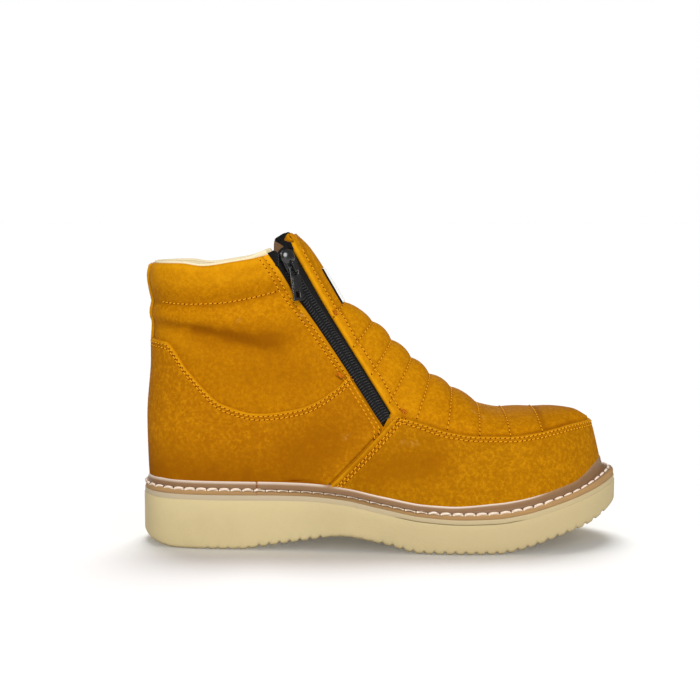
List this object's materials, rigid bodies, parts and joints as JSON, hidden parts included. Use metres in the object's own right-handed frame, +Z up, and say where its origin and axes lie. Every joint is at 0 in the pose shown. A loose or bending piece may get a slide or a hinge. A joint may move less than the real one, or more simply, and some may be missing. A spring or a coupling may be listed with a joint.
{
  "type": "work shoe",
  "caption": "Ankle-high zip-sided work shoe for the right foot: moccasin-toe leather upper with a quilted front, stitched welt and a flat rippled wedge sole.",
  "frame": {"origin": "middle of the sole's outline, on the floor", "axes": "+X towards the toe, +Z up, -Y the outer side of the foot"},
  "size_m": [0.309, 0.1066, 0.1988],
  "materials": {
    "upper_leather": "oiled matt nubuck",
    "overlay_leather": "oiled matt nubuck",
    "sole_foam": "matt cellular rubber",
    "midsole_rubber": "matt",
    "welt_strip": "satin moulded strip",
    "lining_fabric": "brushed cloth",
    "patch_fabric": "woven",
    "zip_tape_fabric": "woven",
    "zip_chain_plastic": "satin coil",
    "slider_metal": "gloss black"
  },
  "bodies": {
    "shoe": {"outsole": "sole_foam", "midsole": "midsole_rubber", "welt": "welt_strip", "insole": "lining_fabric", "upper": "upper_leather", "vamp_wall": "overlay_leather", "counter_outer": "overlay_leather", "counter_inner": "overlay_leather", "back_strip": "overlay_leather", "front_patch": "patch_fabric", "zip_tape_outer": "zip_tape_fabric", "zip_tape_inner": "zip_tape_fabric", "zip_chain_outer": "zip_chain_plastic", "zip_chain_inner": "zip_chain_plastic", "zip_slider_outer": "slider_metal", "zip_slider_inner": "slider_metal"},
    "pull_outer": {"zip_pull_outer": "slider_metal"},
    "pull_inner": {"zip_pull_inner": "slider_metal"}
  },
  "joints": [
    {"name": "pull_outer_swing", "type": "hinge", "parent": "shoe", "child": "pull_outer", "pos_m": [-0.05559, -0.02642, 0.17869], "axis": [-0.8741, -0.4832, -0.0494], "range_deg": [0, 160]},
    {"name": "pull_inner_swing", "type": "hinge", "parent": "shoe", "child": "pull_inner", "pos_m": [-0.05563, 0.0307, 0.17878], "axis": [0.8799, -0.474, 0.0341], "range_deg": [0, 160]}
  ]
}
